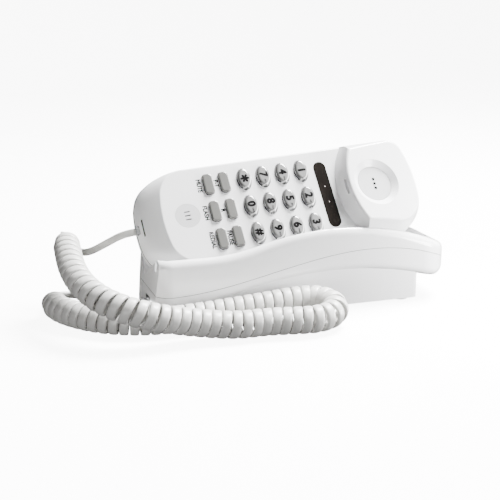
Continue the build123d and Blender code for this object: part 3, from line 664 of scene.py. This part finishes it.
def build_labels():
    """The name printed on the face beside each function key, on its microphone side."""
    for key, (text, aside) in FUNCTION_KEYS.items():
        printed(f"{key}_label", text, centre_of(key) - ALONG * aside, LABEL_HEIGHT, LABEL_WEIGHT,
                "handset_front_cover", "handset", LABEL_SQUEEZE)


# ---------------------------------------------------------------- shadow lines, small marks and the spring

def merged_copy(node):
    """A bmesh of a CAD node with its split corners joined."""
    mesh = bmesh.new()
    mesh.from_mesh(frame["nodes"][node].data)
    bmesh.ops.remove_doubles(mesh, verts=mesh.verts, dist=SAME_POINT)
    return mesh


def seam_edges(upper, lower):
    """The edges of one cover that lie on the other, as pairs of points."""
    first = merged_copy(upper)
    tree = surface_of(lower)
    touching = {v for v in first.verts if tree.find_nearest(v.co, SEAM_REACH)[0] is not None}
    pairs = []
    for edge in first.edges:
        sharp = len(edge.link_faces) == 2 and edge.calc_face_angle(0) > math.radians(SEAM_ANGLE)
        if sharp and all(vertex in touching for vertex in edge.verts):
            pairs.append(tuple(vertex.co.copy() for vertex in edge.verts))
    first.free()
    return pairs


def shadow_line(name, pairs, body):
    """A thin dark line laid along some edges: painted shadow standing in for the groove between two covers.
    """
    mesh = bmesh.new()
    angles = [2 * math.pi / SEAM_SIDES * corner for corner in range(SEAM_SIDES)]
    for start, end in pairs:
        way = (end - start).normalized()
        side = way.orthogonal().normalized()
        other = way.cross(side)
        rings = []
        overlap = way * SEAM_WIDTH * SEAM_OVERLAP
        for centre in (start - overlap, end + overlap):
            rings.append([
                mesh.verts.new(centre + (side * math.cos(a) + other * math.sin(a)) * SEAM_WIDTH / 2)
                for a in angles])
        for corner in range(SEAM_SIDES):
            after = (corner + 1) % SEAM_SIDES
            mesh.faces.new((rings[0][corner], rings[0][after], rings[1][after], rings[1][corner]))
    line = finished_mesh(name, mesh, "painted_seam_shadow")
    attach(line, body)


def outside_only(pairs, node, margin):
    """The pairs that lie within a margin of the sides of a node's box."""
    low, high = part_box(node)
    kept = []
    for start, end in pairs:
        middle = (start + end) / 2
        if min(middle.x - low.x, high.x - middle.x, middle.y - low.y, high.y - middle.y) < margin:
            kept.append((start, end))
    return kept


def build_seams():
    """Painted shadow lines where the base covers meet, where the handset covers meet and round the earpiece
    disc.
    """
    base = seam_edges("base_top_cover", "base_bottom_cover")
    shadow_line("base_seam_shadow", outside_only(base, "base_top_cover", SEAM_MARGIN), "base")
    shadow_line("handset_seam_shadow", seam_edges("handset_front_cover", "handset_back_cover"), "handset")
    shadow_line("earpiece_ring_shadow", seam_edges("earpiece_disc", "handset_front_cover"), "handset")


def small_discs(name, centres, way, radius, material, body):
    """Small low domes facing a way, such as painted shade over the holes of a grille, or a lit point."""
    mesh = bmesh.new()
    side = way.orthogonal().normalized()
    other = way.cross(side)
    angles = [2 * math.pi / DISC_SIDES * step for step in range(DISC_SIDES)]
    for centre in centres:
        top = mesh.verts.new(centre + way * radius * DISC_CROWN)
        rings = []
        for share, rise in DISC_RINGS:
            middle = centre + way * radius * rise
            rings.append([
                mesh.verts.new(middle + (side * math.cos(a) + other * math.sin(a)) * radius * share)
                for a in angles])
        for step in range(DISC_SIDES):
            after = (step + 1) % DISC_SIDES
            mesh.faces.new((top, rings[0][step], rings[0][after]))
            mesh.faces.new((rings[0][step], rings[1][step], rings[1][after], rings[0][after]))
    bmesh.ops.recalc_face_normals(mesh, faces=mesh.faces)
    piece = finished_mesh(name, mesh, material)
    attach(piece, body)


def build_small_marks():
    """Painted shade over the holes in the earpiece grille, as black domes, and the two lamps that show
    through the lens.
    """
    grille = centre_of("earpiece_disc")
    tree = surface_of("earpiece_disc")
    beside = 3 * HOLE_RADIUS  # clear of the row of holes
    hit, slope = tree.ray_cast(grille + ALONG * beside + OUT * ABOVE, -OUT)[:2]
    slope = slope if slope.dot(OUT) > 0 else -slope
    way = (ALONG - slope * ALONG.dot(slope)).normalized()
    middle = hit - way * beside + slope * HOLE_PROUD
    centres = [middle + ACROSS * HOLE_SPACING * step for step in (-1, 0, 1)]
    # painted shade: black domes laid over the grille's holes
    small_discs("earpiece_hole_shade", centres, slope, HOLE_RADIUS, "ink_and_hole_shade", "handset")
    lens = centre_of("indicator_lens")
    front = surface_of("indicator_lens").ray_cast(lens + OUT * ABOVE, -OUT)[0] + OUT * PRINT_PROUD / 2
    lamps = [front + ACROSS * LAMP_ASIDE * step for step in (-1, 1)]
    small_discs("lamp_points", lamps, OUT, LAMP_RADIUS, "led", "handset")


def build_spring():
    """The hook's spring as a mesh of its own, in place of its CAD node."""
    spring = finished_mesh("hook_coil", merged_copy("hook_spring"), "steel")
    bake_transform(spring)
    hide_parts("hook_spring")


# ---------------------------------------------------------------- table, light and camera

def build_stage():
    """A pale table that curves up into the backdrop."""
    mesh = bmesh.new()
    profile = [(TABLE_FRONT, 0.0), (TABLE_BACK, 0.0)]
    for number in range(1, SWEEP_STEPS + 1):
        angle = math.pi / 2 * number / SWEEP_STEPS
        profile.append((TABLE_BACK + SWEEP * math.sin(angle), SWEEP - SWEEP * math.cos(angle)))
    profile.append((TABLE_BACK + SWEEP, BACKDROP_TOP))
    rows = [[mesh.verts.new((x, y, z)) for x in (-TABLE_HALF, TABLE_HALF)] for y, z in profile]
    for before, after in zip(rows, rows[1:]):
        mesh.faces.new((before[0], before[1], after[1], after[0]))
    floor = finished_mesh("table", mesh, "table")
    floor.visible_diffuse = False        # the pale table doesn't fill the shadows from below
    floor.visible_glossy = False


def softbox(name, place, width, height, power):
    """A rectangular area light, turned to the object."""
    light = bpy.data.lights.new(name, "AREA")
    light.shape = "RECTANGLE"
    light.size, light.size_y, light.energy = width, height, power
    holder = bpy.data.objects.new(name, light)
    holder.location = place
    holder.rotation_euler = (Vector(LIGHT_AIM) - Vector(place)).to_track_quat("-Z", "Y").to_euler()
    holder.visible_camera = False
    bpy.context.collection.objects.link(holder)


def build_light():
    """Soft studio light: one high and a small one low on the right, a low strip at the front left."""
    world = bpy.data.worlds.new("studio")
    world.use_nodes = True
    world.node_tree.nodes["Background"].inputs["Color"].default_value = (1, 1, 1, 1)
    world.node_tree.nodes["Background"].inputs["Strength"].default_value = AMBIENT
    bpy.context.scene.world = world
    for name, place, size, power in LIGHTS:
        softbox(name, place, *size, power)


def build_camera():
    """The view from the front, a little above and to the left."""
    data = bpy.data.cameras.new("camera")
    data.lens = LENS
    data.sensor_width = SENSOR_WIDTH
    holder = bpy.data.objects.new("camera", data)
    holder.location = CAMERA_PLACE + MODEL_ORIGIN
    holder.rotation_euler = (math.radians(90 - CAMERA_ELEVATION), 0, math.radians(-CAMERA_LEFT))
    bpy.context.collection.objects.link(holder)
    bpy.context.scene.camera = holder


build_camera()
finish_nodes()
build_cord()
build_numerals()
build_labels()
build_seams()
build_small_marks()
build_spring()
build_stage()
build_light()
